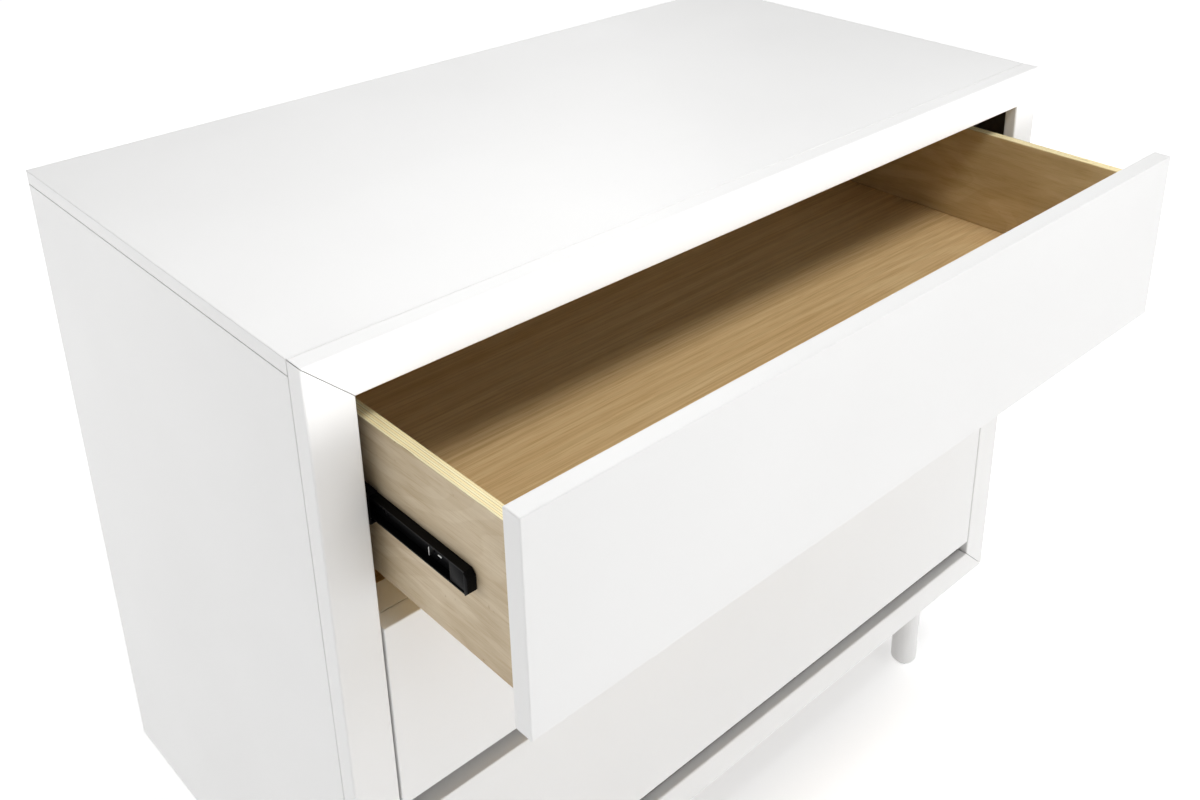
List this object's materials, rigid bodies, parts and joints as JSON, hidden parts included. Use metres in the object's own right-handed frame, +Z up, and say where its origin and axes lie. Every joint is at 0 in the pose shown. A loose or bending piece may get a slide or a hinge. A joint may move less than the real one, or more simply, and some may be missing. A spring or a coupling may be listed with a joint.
{
  "type": "chest of drawers",
  "caption": "White painted chest of drawers on round legs, with a mitred front frame and flush slab drawers on ball-bearing slides.",
  "frame": {"origin": "on the floor, midway across the width and midway between the back and the pulled-out upper drawer's face", "axes": "+X to the right as seen from the front, +Y from the front to the back, +Z up"},
  "size_m": [0.965, 0.699, 0.865],
  "materials": {
    "white_paint": "satin white paint on board",
    "birch_plywood": "clear satin",
    "maple_veneer": "clear satin",
    "black_steel": "black coated",
    "raw_board": "raw",
    "glide_plastic": "matte"
  },
  "bodies": {
    "carcass": {"top_panel": "white_paint", "left_side_panel": "white_paint", "right_side_panel": "white_paint", "bottom_panel": "raw_board", "back_panel": "raw_board", "back_stretcher": "raw_board", "frame_left_stile": "white_paint", "frame_right_stile": "white_paint", "frame_top_rail": "white_paint", "frame_bottom_rail": "white_paint", "upper_cross_rail": "white_paint", "lower_cross_rail": "white_paint", "leg_front_left": "white_paint", "leg_front_right": "white_paint", "leg_back_left": "white_paint", "leg_back_right": "white_paint", "glide_front_left": "glide_plastic", "glide_front_right": "glide_plastic", "glide_back_left": "glide_plastic", "glide_back_right": "glide_plastic", "upper_slide_left_cabinet_member": "black_steel", "upper_slide_left_cleat": "raw_board", "upper_slide_right_cabinet_member": "black_steel", "upper_slide_right_cleat": "raw_board", "middle_slide_left_cabinet_member": "black_steel", "middle_slide_left_cleat": "raw_board", "middle_slide_right_cabinet_member": "black_steel", "middle_slide_right_cleat": "raw_board", "lower_slide_left_cabinet_member": "black_steel", "lower_slide_left_cleat": "raw_board", "lower_slide_right_cabinet_member": "black_steel", "lower_slide_right_cleat": "raw_board"},
    "upper_drawer": {"upper_front": "white_paint", "upper_box_left": "birch_plywood", "upper_box_right": "birch_plywood", "upper_box_back": "birch_plywood", "upper_floor": "maple_veneer", "upper_slide_left_drawer_member": "black_steel", "upper_slide_right_drawer_member": "black_steel"},
    "upper_middle_members": {"upper_slide_left_middle_member": "black_steel", "upper_slide_right_middle_member": "black_steel"},
    "middle_drawer": {"middle_front": "white_paint", "middle_box_left": "birch_plywood", "middle_box_right": "birch_plywood", "middle_box_back": "birch_plywood", "middle_floor": "maple_veneer", "middle_slide_left_drawer_member": "black_steel", "middle_slide_right_drawer_member": "black_steel"},
    "middle_middle_members": {"middle_slide_left_middle_member": "black_steel", "middle_slide_right_middle_member": "black_steel"},
    "lower_drawer": {"lower_front": "white_paint", "lower_box_left": "birch_plywood", "lower_box_right": "birch_plywood", "lower_box_back": "birch_plywood", "lower_floor": "maple_veneer", "lower_slide_left_drawer_member": "black_steel", "lower_slide_right_drawer_member": "black_steel"},
    "lower_middle_members": {"lower_slide_left_middle_member": "black_steel", "lower_slide_right_middle_member": "black_steel"}
  },
  "joints": [
    {"name": "upper_drawer_slide", "type": "slide", "parent": "carcass", "child": "upper_drawer", "axis": [0, -1, 0], "range_m": [-0.186, 0.164]},
    {"name": "upper_middle_members_slide", "type": "slide", "parent": "carcass", "child": "upper_middle_members", "axis": [0, -1, 0], "range_m": [-0.093, 0.082]},
    {"name": "middle_drawer_slide", "type": "slide", "parent": "carcass", "child": "middle_drawer", "axis": [0, -1, 0], "range_m": [0, 0.35]},
    {"name": "middle_middle_members_slide", "type": "slide", "parent": "carcass", "child": "middle_middle_members", "axis": [0, -1, 0], "range_m": [0, 0.175]},
    {"name": "lower_drawer_slide", "type": "slide", "parent": "carcass", "child": "lower_drawer", "axis": [0, -1, 0], "range_m": [0, 0.35]},
    {"name": "lower_middle_members_slide", "type": "slide", "parent": "carcass", "child": "lower_middle_members", "axis": [0, -1, 0], "range_m": [0, 0.175]}
  ],
  "couplings": [
    {"joint": "upper_middle_members_slide", "follows": "upper_drawer_slide", "ratio": 0.5},
    {"joint": "middle_middle_members_slide", "follows": "middle_drawer_slide", "ratio": 0.5},
    {"joint": "lower_middle_members_slide", "follows": "lower_drawer_slide", "ratio": 0.5}
  ]
}
